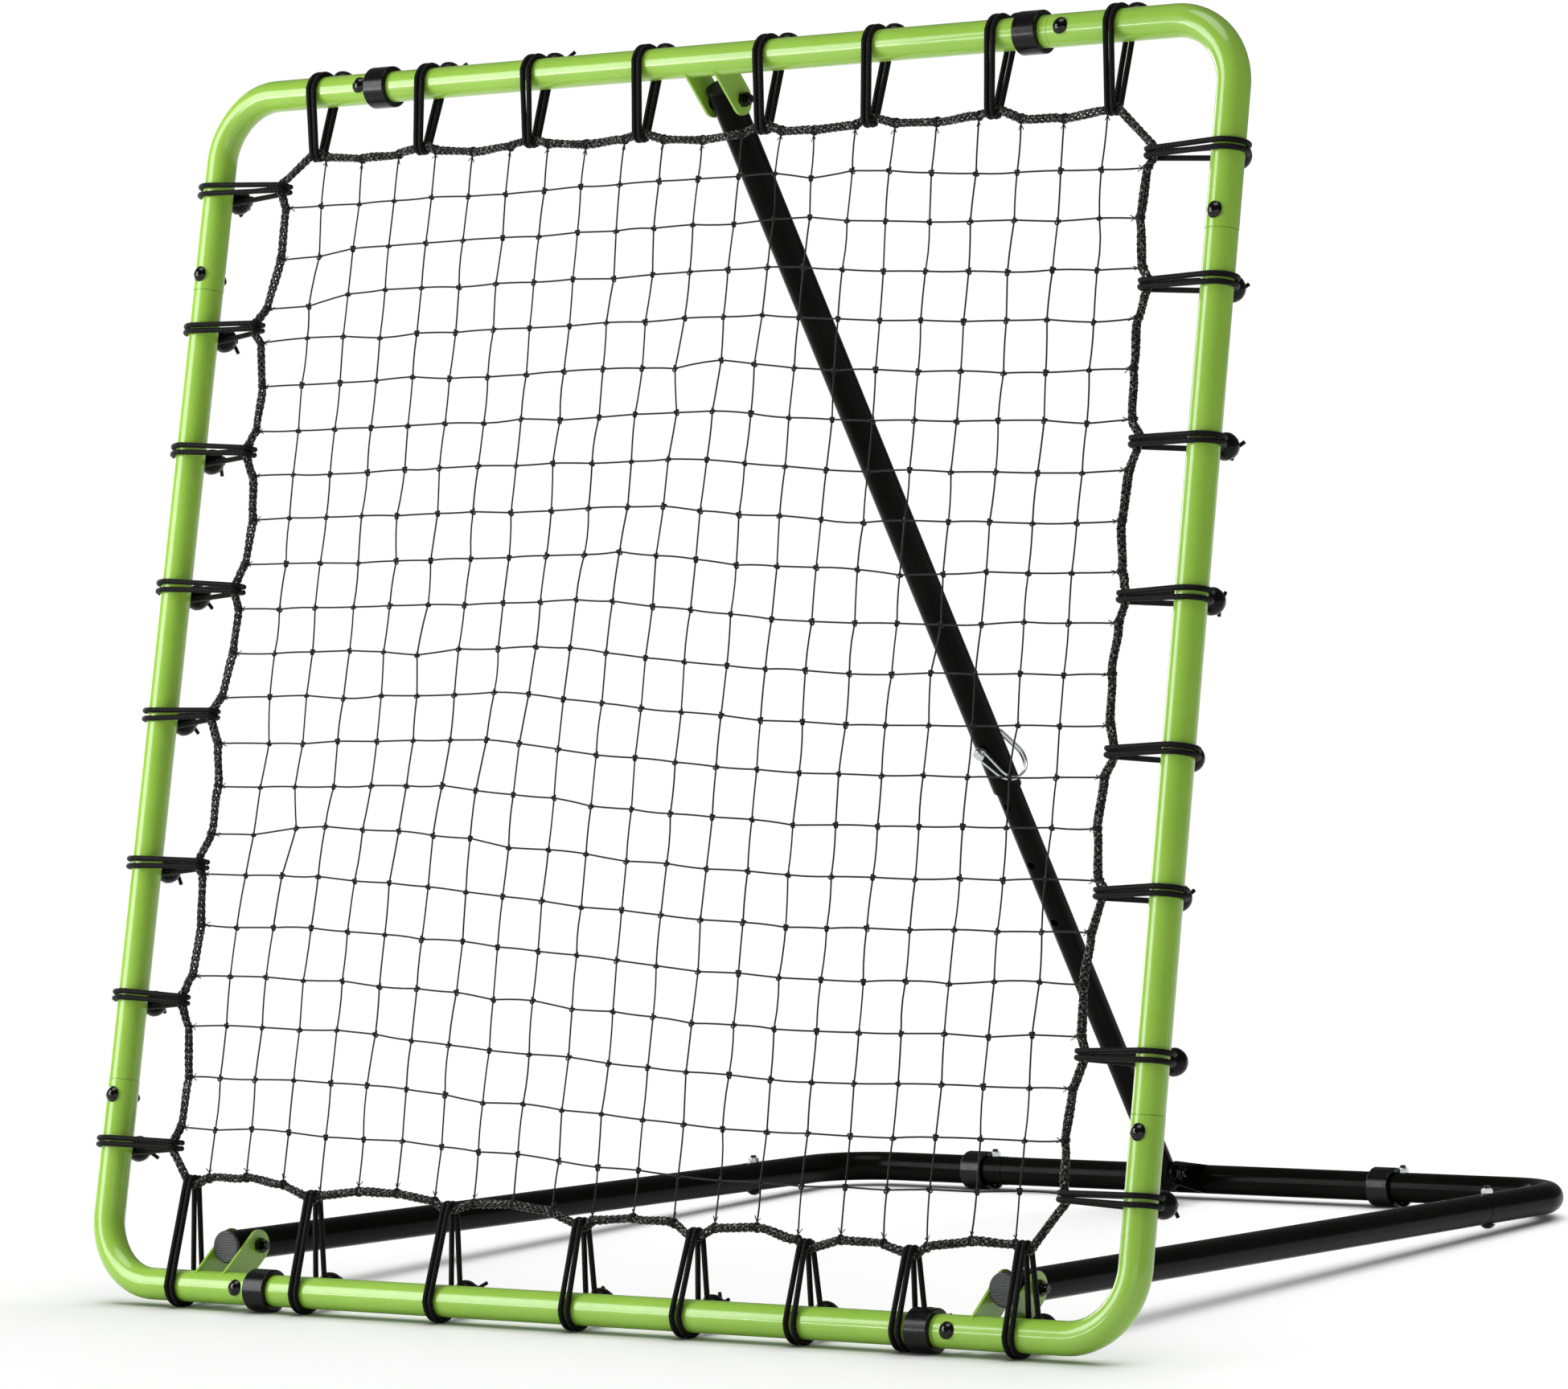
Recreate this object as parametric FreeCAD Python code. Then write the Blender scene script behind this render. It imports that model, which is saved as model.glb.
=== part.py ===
import FreeCAD, Part
import math
import os

V = FreeCAD.Vector
X, Y, Z = V(1, 0, 0), V(0, 1, 0), V(0, 0, 1)

# The whole object, in millimetres. +X is to the right, +Y is to the back, +Z is up, and the origin is
# on the floor, in the middle of the footprint.
FRAME_SPAN = 1169.5  # the net frame is a square of this size between its tube centres
BASE_LENGTH = 1051.4  # from the bottom tube's centre to the rear tube's centre
BASE_WIDTH = 888.0  # between the centres of the base's side tubes
LEAN = 12.6  # degrees that the net frame leans back

# Tubes
TUBE_R = 15.0
CORNER_R = 15.25  # a corner tube is a little fatter, as its ends are widened
WALL = 1.2
FIT = 0.05  # radial play of a reduced tube end in a corner tube
BEND_R = 65.0
SPIGOT = 40.0
SEAM_GAP = 0.6
FRAME_LEG = 194.0  # from a corner of the net frame to the end of its corner tube
BASE_SIDE_LEG = 188.0
BASE_REAR_LEG = 209.0
BOLT_FROM_SEAM = 15.0
COLLAR_R = 20.0
COLLAR_WIDTH = 25.0
COLLAR_ROUNDING = 1.2
FLOOR_TO_TUBE = COLLAR_R

# Collars, as places along the tube that each one is on
TOP_COLLARS = (-385.0, 368.5)
BOTTOM_COLLARS = (-380.5, 375.0)
REAR_COLLARS = (-271.0, 229.0)

# Fasteners
SCREW_R = 3.0
SCREW_HOLE_R = 3.2
DOME_R = 7.8
DOME_HEIGHT = 4.5
NUT_R = 5.7
NUT_HEIGHT = 5.0
PIVOT_R = 4.0
PIVOT_HOLE_R = 4.08
PIVOT_HEAD_R = 7.5
PIVOT_HEAD = 5.0
PIVOT_NUT = 7.0
PIVOT_END = 11.0  # that a pivot bolt reaches beyond its bracket

# Brackets: two ears each, with the pivot's place from the centre of the tube that they are welded to
EAR = 2.5
EAR_R = 15.0
FOOT_EAR_R = 12.0
EAR_GAP = 0.6
HINGE_FROM_TUBE = V(0, 47.0, 35.0)
TOP_PIVOT_FROM_TUBE = V(0, 33.5, -36.6)
FOOT_PIVOT_FROM_TUBE = V(0, -59.4, 13.7)

# Base end caps
CAP_FACE_FROM_HINGE = 28.0
CAP_LIP_R = 15.8
CAP_LIP = 3.0
CAP_PLUG = 16.0

# Strut: an upper tube that hangs from the frame and a lower tube that slides in it
STRUT_UPPER_R = 15.0
STRUT_LOWER_R = 12.7
STRUT_WALL = 1.0
STRUT_END = 14.0  # from a strut pivot to that end of its tube
STRUT_UPPER_END = 801.7  # from the top pivot to the open end of the upper tube
PIN_FROM_TOP = 746.0
HOLE_STEP = 72.5
HOLE_COUNT = 4  # the one that the pin is in, and three more towards the foot
LOWER_ABOVE_PIN = 60.0

# Snap pin, which crosses both strut tubes from front to back
PIN_R = 4.0
PIN_HOLE_R = 4.08
PIN_HEAD_R = 6.0
PIN_HEAD = 8.0
PIN_NECK = 1.5
PIN_TIP = 4.5
PIN_HEAD_FLAT = 4.6
BAIL_R = 1.2
BAIL_DEPTH = 46.0
BAIL_HALF = 2.3  # half the gap between its two legs, centre to centre, where they pass the tube
BAIL_SIDE = 0.54  # how far the bail points to the side rather than down the strut

# Net, border rope and bungees. Places along the bars are measured from the middle of the top and
# bottom tubes, and up from the bottom tube's centre on the side tubes.
ROPE_R = 4.0
CORD_R = 2.6
CORD_PLAY = 0.1
STRAND_GAP = 6.0  # between the centres of a loop's two strands
BALL_R = 12.5
BALL_FROM_TUBE = 32.0
BALL_HOLE_R = 3.2
KNOT_R = 3.6
TAIL_R = 1.6
TAIL_LENGTH = 9.0
STRING = 1.8
NET_PITCH_X, NET_PITCH_Z = 45.6, 45.6
NET_COUNT = 21
NET_MID_Z = 596.4
STRING_CLEAR = 1.6  # from a string's end to the rope, or to a bungee that the rope carries there
ROPE_SAGS = (12.0, 9.5, 9.5, 16.0)  # bottom, right, top, left
ROPE_FLAT = 10.0  # half the straight stretch of rope that a bungee holds
ROPE_FLAT_AT_CORNER = 15.0
TOP_LOOPS = (-462, -329, -199, -67, 75, 196, 333, 460)
BOTTOM_LOOPS = (-484, -332, -169, -12, 115, 240, 352, 471)
LEFT_LOOPS = (133, 275, 406, 552, 677, 813, 936, 1076)
RIGHT_LOOPS = (121, 245, 388, 511, 650, 788, 930, 1050)
# How far the rope hangs inside the tube's centre at each of those loops
TOP_DROPS = (61, 62, 63, 66, 67, 68, 69, 74)
BOTTOM_DROPS = (97, 88, 84, 75, 71, 66, 65, 74)
LEFT_DROPS = (71, 62, 66, 62, 75, 71, 65, 81)
RIGHT_DROPS = (76, 70, 65, 66, 67, 68, 72, 77)
# Where each ball sits round its tube: degrees from the way to the net, towards the back
BALL_ANGLES = {
    "top": (120,) * 8,
    "bottom": (72,) * 8,
    "left": (90,) * 8,
    "right": (95, 92, 76, 78, 92, 94, 82, 74),
}
# How far each ball hangs off its loop, along the tube towards its lower or left end
BALL_DROOP = {"top": 0.0, "bottom": -5.0, "left": 2.0, "right": 0.0}

HALF = FRAME_SPAN / 2
NODES = {}


# Placing ------------------------------------------------------------------------------------------


def turned(v, degrees):
    """A vector turned about +X."""
    return FreeCAD.Rotation(X, degrees).multVec(v)


BOTTOM_TUBE = V(0, -BASE_LENGTH / 2, FLOOR_TO_TUBE)
REAR_TUBE = V(0, BASE_LENGTH / 2, FLOOR_TO_TUBE)
TOP_TUBE = BOTTOM_TUBE + turned(V(0, 0, FRAME_SPAN), -LEAN)
HINGE = BOTTOM_TUBE + HINGE_FROM_TUBE
TOP_PIVOT = TOP_TUBE + TOP_PIVOT_FROM_TUBE
FOOT_PIVOT = REAR_TUBE + FOOT_PIVOT_FROM_TUBE
BASE_SLOPE = math.degrees(math.atan2(HINGE.z - REAR_TUBE.z, REAR_TUBE.y - HINGE.y))
STRUT_LENGTH = (FOOT_PIVOT - TOP_PIVOT).Length
STRUT_ANGLE = math.degrees(math.atan2(FOOT_PIVOT.y - TOP_PIVOT.y, TOP_PIVOT.z - FOOT_PIVOT.z))

# Each body is built upright or flat, in its own space, and then put where it stands.
FRAME_PLACE = FreeCAD.Placement(BOTTOM_TUBE, FreeCAD.Rotation(X, -LEAN))
BASE_PLACE = FreeCAD.Placement(REAR_TUBE, FreeCAD.Rotation(X, -BASE_SLOPE))
STRUT_PLACE = FreeCAD.Placement(TOP_PIVOT, FreeCAD.Rotation(X, STRUT_ANGLE))


def in_space(place, point):
    return place.inverse().multVec(point)


def node(name, place, solids):
    """Keeps a sub-part, put in its place, to be written at the end."""
    shape = solids[0] if len(solids) == 1 else Part.makeCompound(solids)
    shape = shape.copy()
    shape.Placement = place.multiply(shape.Placement)
    NODES[name] = shape


# Shapes -------------------------------------------------------------------------------------------


def rod(start, end, radius):
    return Part.makeCylinder(radius, (end - start).Length, start, end - start)


def ring(centre, axis, outer, inner, width, rounding=0):
    start = centre - axis * (width / 2)
    disc = Part.makeCylinder(outer, width, start, axis)
    if rounding:
        disc = disc.makeFillet(rounding, [e for e in disc.Edges if e.Curve.TypeId == "Part::GeomCircle"])
    return disc.cut(Part.makeCylinder(inner, width, start, axis))


def rounded_path(points, radii):
    """Straight runs joined by tangent arcs, one radius for each inner point."""
    edges, start = [], points[0]
    for before, point, after, radius in zip(points, points[1:], points[2:], radii):
        to_before, to_after = (before - point).normalize(), (after - point).normalize()
        half = to_before.getAngle(to_after) / 2
        back = radius / math.tan(half)
        first, last = point + to_before * back, point + to_after * back
        middle = (to_before + to_after).normalize()
        top = point + middle * (radius / math.sin(half) - radius)
        edges.append(Part.LineSegment(start, first).toShape())
        edges.append(Part.Arc(first, top, last).toShape())
        start = last
    edges.append(Part.LineSegment(start, points[-1]).toShape())
    return Part.Wire(edges)


def pipe(path, start, direction, radius):
    section = Part.Wire(Part.Circle(start, direction, radius).toShape())
    return path.makePipeShell([section], True, False)


def straight_tube(start, end):
    """A tube between two seams, with a reduced end beyond each one."""
    along = (end - start).normalize()
    spigot_r = CORNER_R - WALL - FIT
    outer = rod(start + along * SEAM_GAP, end - along * SEAM_GAP, TUBE_R)
    outer = outer.fuse(rod(start - along * SPIGOT, end + along * SPIGOT, spigot_r))
    bore = rod(start - along * SPIGOT, end + along * SPIGOT, spigot_r - WALL)
    inset = SEAM_GAP + WALL
    wide_bore = rod(start + along * inset, end - along * inset, TUBE_R - WALL)
    return outer.cut(bore.fuse(wide_bore))


def corner_tube(corner, first, second, first_leg, second_leg):
    """A bent tube: first and second are the ways its two legs point."""
    points = [corner + first * first_leg, corner, corner + second * second_leg]
    outer, inner = [
        pipe(rounded_path(points, [BEND_R]), points[0], first, radius)
        for radius in (CORNER_R, CORNER_R - WALL)
    ]
    return outer.cut(inner)


def drilled(shape, places, axis, radius):
    for place in places:
        shape = shape.cut(rod(place - axis * 25, place + axis * 25, radius))
    return shape


def dome(centre, axis, radius, height):
    """The round head of a bolt, standing on centre and pointing along axis."""
    ball_r = (radius * radius + height * height) / (2 * height)
    ball = Part.makeSphere(ball_r, centre + axis * (height - ball_r))
    return ball.common(Part.makeCylinder(radius, height, centre, axis))


def hexagon(centre, axis, across, height):
    side = axis.cross(X) if abs(axis.dot(X)) < 0.9 else axis.cross(Y)
    side.normalize()
    other = axis.cross(side)
    turns = [math.radians(60 * k) for k in range(7)]
    points = [centre + side * (across * math.cos(a)) + other * (across * math.sin(a)) for a in turns]
    return Part.Face(Part.makePolygon(points)).extrude(axis * height)


def carriage_bolt(centre, axis, seat):
    """A dome head at the end that axis points to, and a shank through the tube."""
    head = dome(centre + axis * (seat + 0.05), axis, DOME_R, DOME_HEIGHT)
    return head.fuse(rod(centre + axis * (seat + 0.1), centre - axis * (seat + NUT_HEIGHT + 2.5), SCREW_R))


def lock_nut(centre, axis, seat):
    """A hexagon nut with a round plastic insert, on the far side from the head."""
    start = centre - axis * (seat + 0.05)
    body = hexagon(start, axis * -1, NUT_R, NUT_HEIGHT - 1.2)
    body = body.fuse(Part.makeCylinder(NUT_R * 0.8, NUT_HEIGHT, start, axis * -1))
    return body.cut(rod(start + axis, start - axis * (NUT_HEIGHT + 1), SCREW_R))


def ear_plate(tube_centre, tube_r, pivot, x, ear_r):
    """A teardrop plate between x and x + EAR, round at its pivot and open at its tube."""
    a, b = V(x, tube_centre.y, tube_centre.z), V(x, pivot.y, pivot.z)
    line = b - a
    turn = math.asin((tube_r - ear_r) / line.Length)
    outline = []
    for sign in (1, -1):
        normal = FreeCAD.Rotation(X, sign * (90 - math.degrees(turn))).multVec(line).normalize()
        outline.append((a + normal * tube_r, b + normal * ear_r))
    (a1, b1), (a2, b2) = outline
    tip = b + line.normalize() * ear_r
    edges = [
        Part.LineSegment(a1, b1).toShape(),
        Part.Arc(b1, tip, b2).toShape(),
        Part.LineSegment(b2, a2).toShape(),
        Part.LineSegment(a2, a1).toShape(),
    ]
    plate = Part.Face(Part.Wire(edges)).extrude(X * EAR)
    plate = plate.cut(rod(a - X * 5, a + X * 15, tube_r))
    return plate.cut(rod(b - X * 5, b + X * 15, PIVOT_HOLE_R))


def bracket(x, tube_centre, tube_r, pivot, held_r, ear_r=EAR_R):
    """Two ears with room for a round tube of radius held_r between them."""
    inner = held_r + EAR_GAP
    return [
        ear_plate(tube_centre, tube_r, pivot, x + inner, ear_r),
        ear_plate(tube_centre, tube_r, pivot, x - inner - EAR, ear_r),
    ]


def pivot_bolt(pivot, x, held_r):
    """A hexagon head on the left and a shank through both ears, whose end stands out of the nut."""
    out = held_r + EAR_GAP + EAR
    head_at, end = V(x - out - 0.05, pivot.y, pivot.z), V(x + out + PIVOT_END, pivot.y, pivot.z)
    head = hexagon(head_at, X * -1, PIVOT_HEAD_R, PIVOT_HEAD)
    shank = rod(head_at - X * 0.5, end, PIVOT_R)
    tip = [e for e in shank.Edges if abs(e.CenterOfMass.x - end.x) < 1e-3]
    return head.fuse(shank.makeChamfer(0.8, tip))


def pivot_nut(pivot, x, held_r):
    """A lock nut: a hexagon with a round collar that holds its plastic insert."""
    start = V(x + held_r + EAR_GAP + EAR + 0.05, pivot.y, pivot.z)
    collar = Part.makeCylinder(PIVOT_HEAD_R * 0.78, PIVOT_NUT, start, X)
    body = hexagon(start, X, PIVOT_HEAD_R, PIVOT_NUT - 2).fuse(collar)
    return body.cut(rod(start - X, start + X * (PIVOT_NUT + 1), PIVOT_R))


def plastic_collar(centre):
    return ring(centre, X, COLLAR_R, CORNER_R + 0.02, COLLAR_WIDTH, COLLAR_ROUNDING)


def spacers(pivot, x, held_r):
    """Thin washers that fill the play between a held tube and its two ears."""
    width = EAR_GAP - 0.1
    return [
        ring(V(x + side * (held_r + EAR_GAP / 2), pivot.y, pivot.z), X, 8.0, PIVOT_HOLE_R, width)
        for side in (-1, 1)
    ]


# Net frame ----------------------------------------------------------------------------------------

FRONT = Y * -1
BOLT_IN = FRAME_LEG - BOLT_FROM_SEAM
CORNERS = {
    "bottom_left": (-1, 0, 1),
    "bottom_right": (1, 0, 1),
    "top_left": (-1, FRAME_SPAN, -1),
    "top_right": (1, FRAME_SPAN, -1),
}


def frame_bolt_places():
    places = []
    for side, height, up in CORNERS.values():
        places.append(V(side * (HALF - BOLT_IN), 0, height))
        places.append(V(side * HALF, 0, height + up * BOLT_IN))
    return places


def make_net_frame():
    bolts = frame_bolt_places()
    for name, (side, height, up) in CORNERS.items():
        corner = V(side * HALF, 0, height)
        shape = corner_tube(corner, X * -side, Z * up, FRAME_LEG, FRAME_LEG)
        near = [p for p in bolts if (p - corner).Length < FRAME_LEG]
        node("frame_corner_tube_" + name, FRAME_PLACE, [drilled(shape, near, Y, SCREW_HOLE_R)])

    reach = HALF - FRAME_LEG
    straights = {
        "frame_top_tube": (V(-reach, 0, FRAME_SPAN), V(reach, 0, FRAME_SPAN)),
        "frame_bottom_tube": (V(-reach, 0, 0), V(reach, 0, 0)),
        "frame_left_tube": (V(-HALF, 0, FRAME_LEG), V(-HALF, 0, FRAME_SPAN - FRAME_LEG)),
        "frame_right_tube": (V(HALF, 0, FRAME_LEG), V(HALF, 0, FRAME_SPAN - FRAME_LEG)),
    }
    for name, (start, end) in straights.items():
        near = [p for p in bolts if p.distanceToLineSegment(start, end).Length < SPIGOT]
        node(name, FRAME_PLACE, [drilled(straight_tube(start, end), near, Y, SCREW_HOLE_R)])

    node("frame_joint_bolts", FRAME_PLACE, [carriage_bolt(p, FRONT, CORNER_R) for p in bolts])
    node("frame_joint_nuts", FRAME_PLACE, [lock_nut(p, FRONT, CORNER_R) for p in bolts])

    for level, height, places in (("top", FRAME_SPAN, TOP_COLLARS), ("bottom", 0, BOTTOM_COLLARS)):
        for side, x in zip(("left", "right"), places):
            collar = plastic_collar(V(x, 0, height))
            node(f"frame_collar_{level}_{side}", FRAME_PLACE, [collar])

    hinge, top = in_space(FRAME_PLACE, HINGE), in_space(FRAME_PLACE, TOP_PIVOT)
    for name, side in (("left", -1), ("right", 1)):
        ears = bracket(side * BASE_WIDTH / 2, V(0, 0, 0), CORNER_R, hinge, CORNER_R)
        node("hinge_bracket_" + name, FRAME_PLACE, ears)
    ears = bracket(0, V(0, 0, FRAME_SPAN), TUBE_R, top, STRUT_UPPER_R)
    node("strut_top_bracket", FRAME_PLACE, ears)
    node("strut_top_bolt", FRAME_PLACE, [pivot_bolt(top, 0, STRUT_UPPER_R)])
    node("strut_top_nut", FRAME_PLACE, [pivot_nut(top, 0, STRUT_UPPER_R)])
    node("strut_top_washers", FRAME_PLACE, spacers(top, 0, STRUT_UPPER_R))


# Border rope and net ------------------------------------------------------------------------------


def anchors():
    """Where the bungees hold the rope, in order round the net from the bottom left."""
    bottom = [V(x, 0, d) for x, d in zip(BOTTOM_LOOPS, BOTTOM_DROPS)]
    right = [V(HALF - d, 0, z) for z, d in zip(RIGHT_LOOPS, RIGHT_DROPS)]
    top = [V(x, 0, FRAME_SPAN - d) for x, d in zip(TOP_LOOPS, TOP_DROPS)]
    left = [V(d - HALF, 0, z) for z, d in zip(LEFT_LOOPS, LEFT_DROPS)]
    return bottom, right, top[::-1], left[::-1]


def rope_points():
    """The rope sags towards the net's middle between the bungees, and cuts each corner."""
    sides = anchors()
    inward = (Z, X * -1, Z * -1, X)
    onward = (X, Z, X * -1, Z * -1)
    points = []
    for side, way, along, sag in zip(sides, inward, onward, ROPE_SAGS):
        for k, a in enumerate(side):
            before, after = [ROPE_FLAT_AT_CORNER if k == end else ROPE_FLAT for end in (0, len(side) - 1)]
            points += [a - along * before, a + along * after]
            if k < len(side) - 1:
                run = side[k + 1] - a
                points += [a + run * 0.27 + way * sag, a + run * 0.73 + way * (sag + 2)]
    # the rope's two ends meet in the middle of its first run
    start = (points[0] + points[1]) * 0.5
    gap = (points[1] - points[0]).normalize() * 0.2
    return [start + gap] + points[1:] + [points[0], start - gap]


def arc_radii(points, share=0.42, most=45.0, back=8.0):
    radii = []
    for a, b, c in zip(points, points[1:], points[2:]):
        half = (a - b).getAngle(c - b) / 2
        shorter = min((a - b).Length, (c - b).Length)
        radii.append(min(most, min(back, share * shorter) * math.tan(half)))
    return radii


def string_end(points, at, along, across, lowest):
    """Where a net string stops short of the rope, or of a bungee where one is in its way."""
    found = []
    for a, b in zip(points, points[1:]):
        p, q = a.dot(along), b.dot(along)
        if min(p, q) <= at <= max(p, q) and p != q:
            found.append((a + (b - a) * ((at - p) / (q - p))).dot(across))
    loops = {(True, True): BOTTOM_LOOPS, (True, False): TOP_LOOPS, (False, True): LEFT_LOOPS}
    near = min(abs(at - loop) for loop in loops.get((along.x > 0, lowest), RIGHT_LOOPS))
    under_bungee = near < STRAND_GAP / 2 + CORD_R + STRING / 2 + STRING_CLEAR
    short = ROPE_R + STRING_CLEAR + (2 * CORD_R if under_bungee else 0)
    return min(found) + short if lowest else max(found) - short


def net_outline(points):
    """The net's outside edge: every string runs out to the rope and ends just inside it."""
    half = STRING / 2
    xs = [NET_PITCH_X * (k - (NET_COUNT - 1) / 2) for k in range(NET_COUNT)]
    zs = [NET_MID_Z + NET_PITCH_Z * (k - (NET_COUNT - 1) / 2) for k in range(NET_COUNT)]
    left, right, low, high = xs[0] - half, xs[-1] + half, zs[0] - half, zs[-1] + half
    outline = []
    for x in xs:
        end = string_end(points, x, X, Z, True)
        outline += [V(x - half, 0, low), V(x - half, 0, end), V(x + half, 0, end), V(x + half, 0, low)]
    for z in zs:
        end = string_end(points, z, Z, X, False)
        outline += [V(right, 0, z - half), V(end, 0, z - half), V(end, 0, z + half), V(right, 0, z + half)]
    for x in xs[::-1]:
        end = string_end(points, x, X, Z, False)
        outline += [V(x + half, 0, high), V(x + half, 0, end), V(x - half, 0, end), V(x - half, 0, high)]
    for z in zs[::-1]:
        end = string_end(points, z, Z, X, True)
        outline += [V(left, 0, z + half), V(end, 0, z + half), V(end, 0, z - half), V(left, 0, z - half)]
    tidy = [p for k, p in enumerate(outline) if (p - outline[k - 1]).Length > 1e-6]
    return xs, zs, tidy


def net_sheet(points):
    """Knotted strings as one flat lattice with square meshes."""
    xs, zs, outline = net_outline(points)
    outer = Part.Face(Part.makePolygon(outline + [outline[0]]))
    half, holes = STRING / 2, []
    for x0, x1 in zip(xs, xs[1:]):
        for z0, z1 in zip(zs, zs[1:]):
            a, b = V(x0 + half, 0, z0 + half), V(x1 - half, 0, z1 - half)
            holes.append(Part.makePolygon([a, V(a.x, 0, b.z), b, V(b.x, 0, a.z), a]))
    face = Part.Face([outer.OuterWire] + holes)
    face.translate(V(0, -half, 0))
    return face.extrude(Y * STRING)


def make_net():
    points = rope_points()
    radii = arc_radii(points)
    path = rounded_path(points, radii)
    rope = pipe(path, points[0], points[1] - points[0], ROPE_R)
    print("rope length", round(path.Length, 1), "smallest radius", round(min(radii), 1))
    print("rope volume ratio", round(rope.Volume / (math.pi * ROPE_R**2 * path.Length), 4))
    node("net_border_rope", FRAME_PLACE, [rope])
    node("net", FRAME_PLACE, [net_sheet(points)])


# Bungees ------------------------------------------------------------------------------------------


def strand(tube, tube_r, inward, drop, ball_angle):
    """One strand: from its ball, over the front of the tube, round the rope and back behind the tube."""
    big, small = tube_r + CORD_R + CORD_PLAY, ROPE_R + CORD_R + CORD_PLAY
    rope = tube + inward * drop
    touch = math.degrees(math.acos((big - small) / drop))

    def on(centre, radius, degrees):
        a = math.radians(degrees)
        return centre + inward * (radius * math.cos(a)) + Y * (radius * math.sin(a))

    start, end = ball_angle + 14, min(touch, ball_angle) + 1
    edges = [
        Part.Arc(
            on(tube, big, start), on(tube, big, (start + 360 - touch) / 2), on(tube, big, 360 - touch)
        ).toShape(),
        Part.LineSegment(on(tube, big, -touch), on(rope, small, -touch)).toShape(),
        Part.Arc(on(rope, small, -touch), on(rope, small, 0), on(rope, small, touch)).toShape(),
        Part.LineSegment(on(rope, small, touch), on(tube, big, touch)).toShape(),
    ]
    if ball_angle - 14 > touch + 1:
        end = ball_angle - 14
        middle = (touch + end) / 2
        edges.append(
            Part.Arc(on(tube, big, touch), on(tube, big, middle), on(tube, big, end)).toShape()
        )
    begin = on(tube, big, start)
    heading = edges[0].tangentAt(edges[0].FirstParameter)
    wire = Part.Wire(edges)
    return pipe(wire, begin, heading, CORD_R), wire.Length


def ball_and_knot(tube, inward, along, angle):
    a = math.radians(angle)
    out = inward * math.cos(a) + Y * math.sin(a)
    centre = tube + out * BALL_FROM_TUBE
    ball = Part.makeSphere(BALL_R, centre).cut(rod(centre - out * 20, centre + out * 20, BALL_HOLE_R))
    knot_at = centre + out * (BALL_R + KNOT_R - 0.6)
    knot = Part.makeSphere(KNOT_R, knot_at)
    for sign in (-1, 1):
        tail = (along * sign * 0.8 + out * 0.25 - inward * 0.5).normalize()
        knot = knot.fuse(rod(knot_at, knot_at + tail * TAIL_LENGTH, TAIL_R))
    return ball, knot


def make_bungees():
    rows = {
        "top": (TOP_LOOPS, TOP_DROPS, Z * -1, X, V(0, 0, FRAME_SPAN), HALF),
        "bottom": (BOTTOM_LOOPS, BOTTOM_DROPS, Z, X, V(0, 0, 0), HALF),
        "left": (LEFT_LOOPS, LEFT_DROPS, X, Z, V(-HALF, 0, 0), FRAME_SPAN),
        "right": (RIGHT_LOOPS, RIGHT_DROPS, X * -1, Z, V(HALF, 0, 0), FRAME_SPAN),
    }
    for side, (loops, drops, inward, along, origin, span) in rows.items():
        strands, balls, knots, lengths = [], [], [], []
        for place, drop, angle in zip(loops, drops, BALL_ANGLES[side]):
            tube = origin + along * place
            on_corner = abs(place) > span - FRAME_LEG or along is Z and place < FRAME_LEG
            for sign in (-1, 1):
                shifted = tube + along * (sign * STRAND_GAP / 2)
                tube_r = CORNER_R if on_corner else TUBE_R
                solid, length = strand(shifted, tube_r, inward, drop, angle)
                strands.append(solid)
                lengths.append(length)
            ball, knot = ball_and_knot(tube - along * BALL_DROOP[side], inward, along, angle)
            balls.append(ball)
            knots.append(knot)
        node("bungee_cords_" + side, FRAME_PLACE, strands)
        node("bungee_balls_" + side, FRAME_PLACE, balls)
        node("bungee_knots_" + side, FRAME_PLACE, knots)
        print(side, "strand lengths", round(min(lengths), 1), "to", round(max(lengths), 1))


# Base ---------------------------------------------------------------------------------------------


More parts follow.
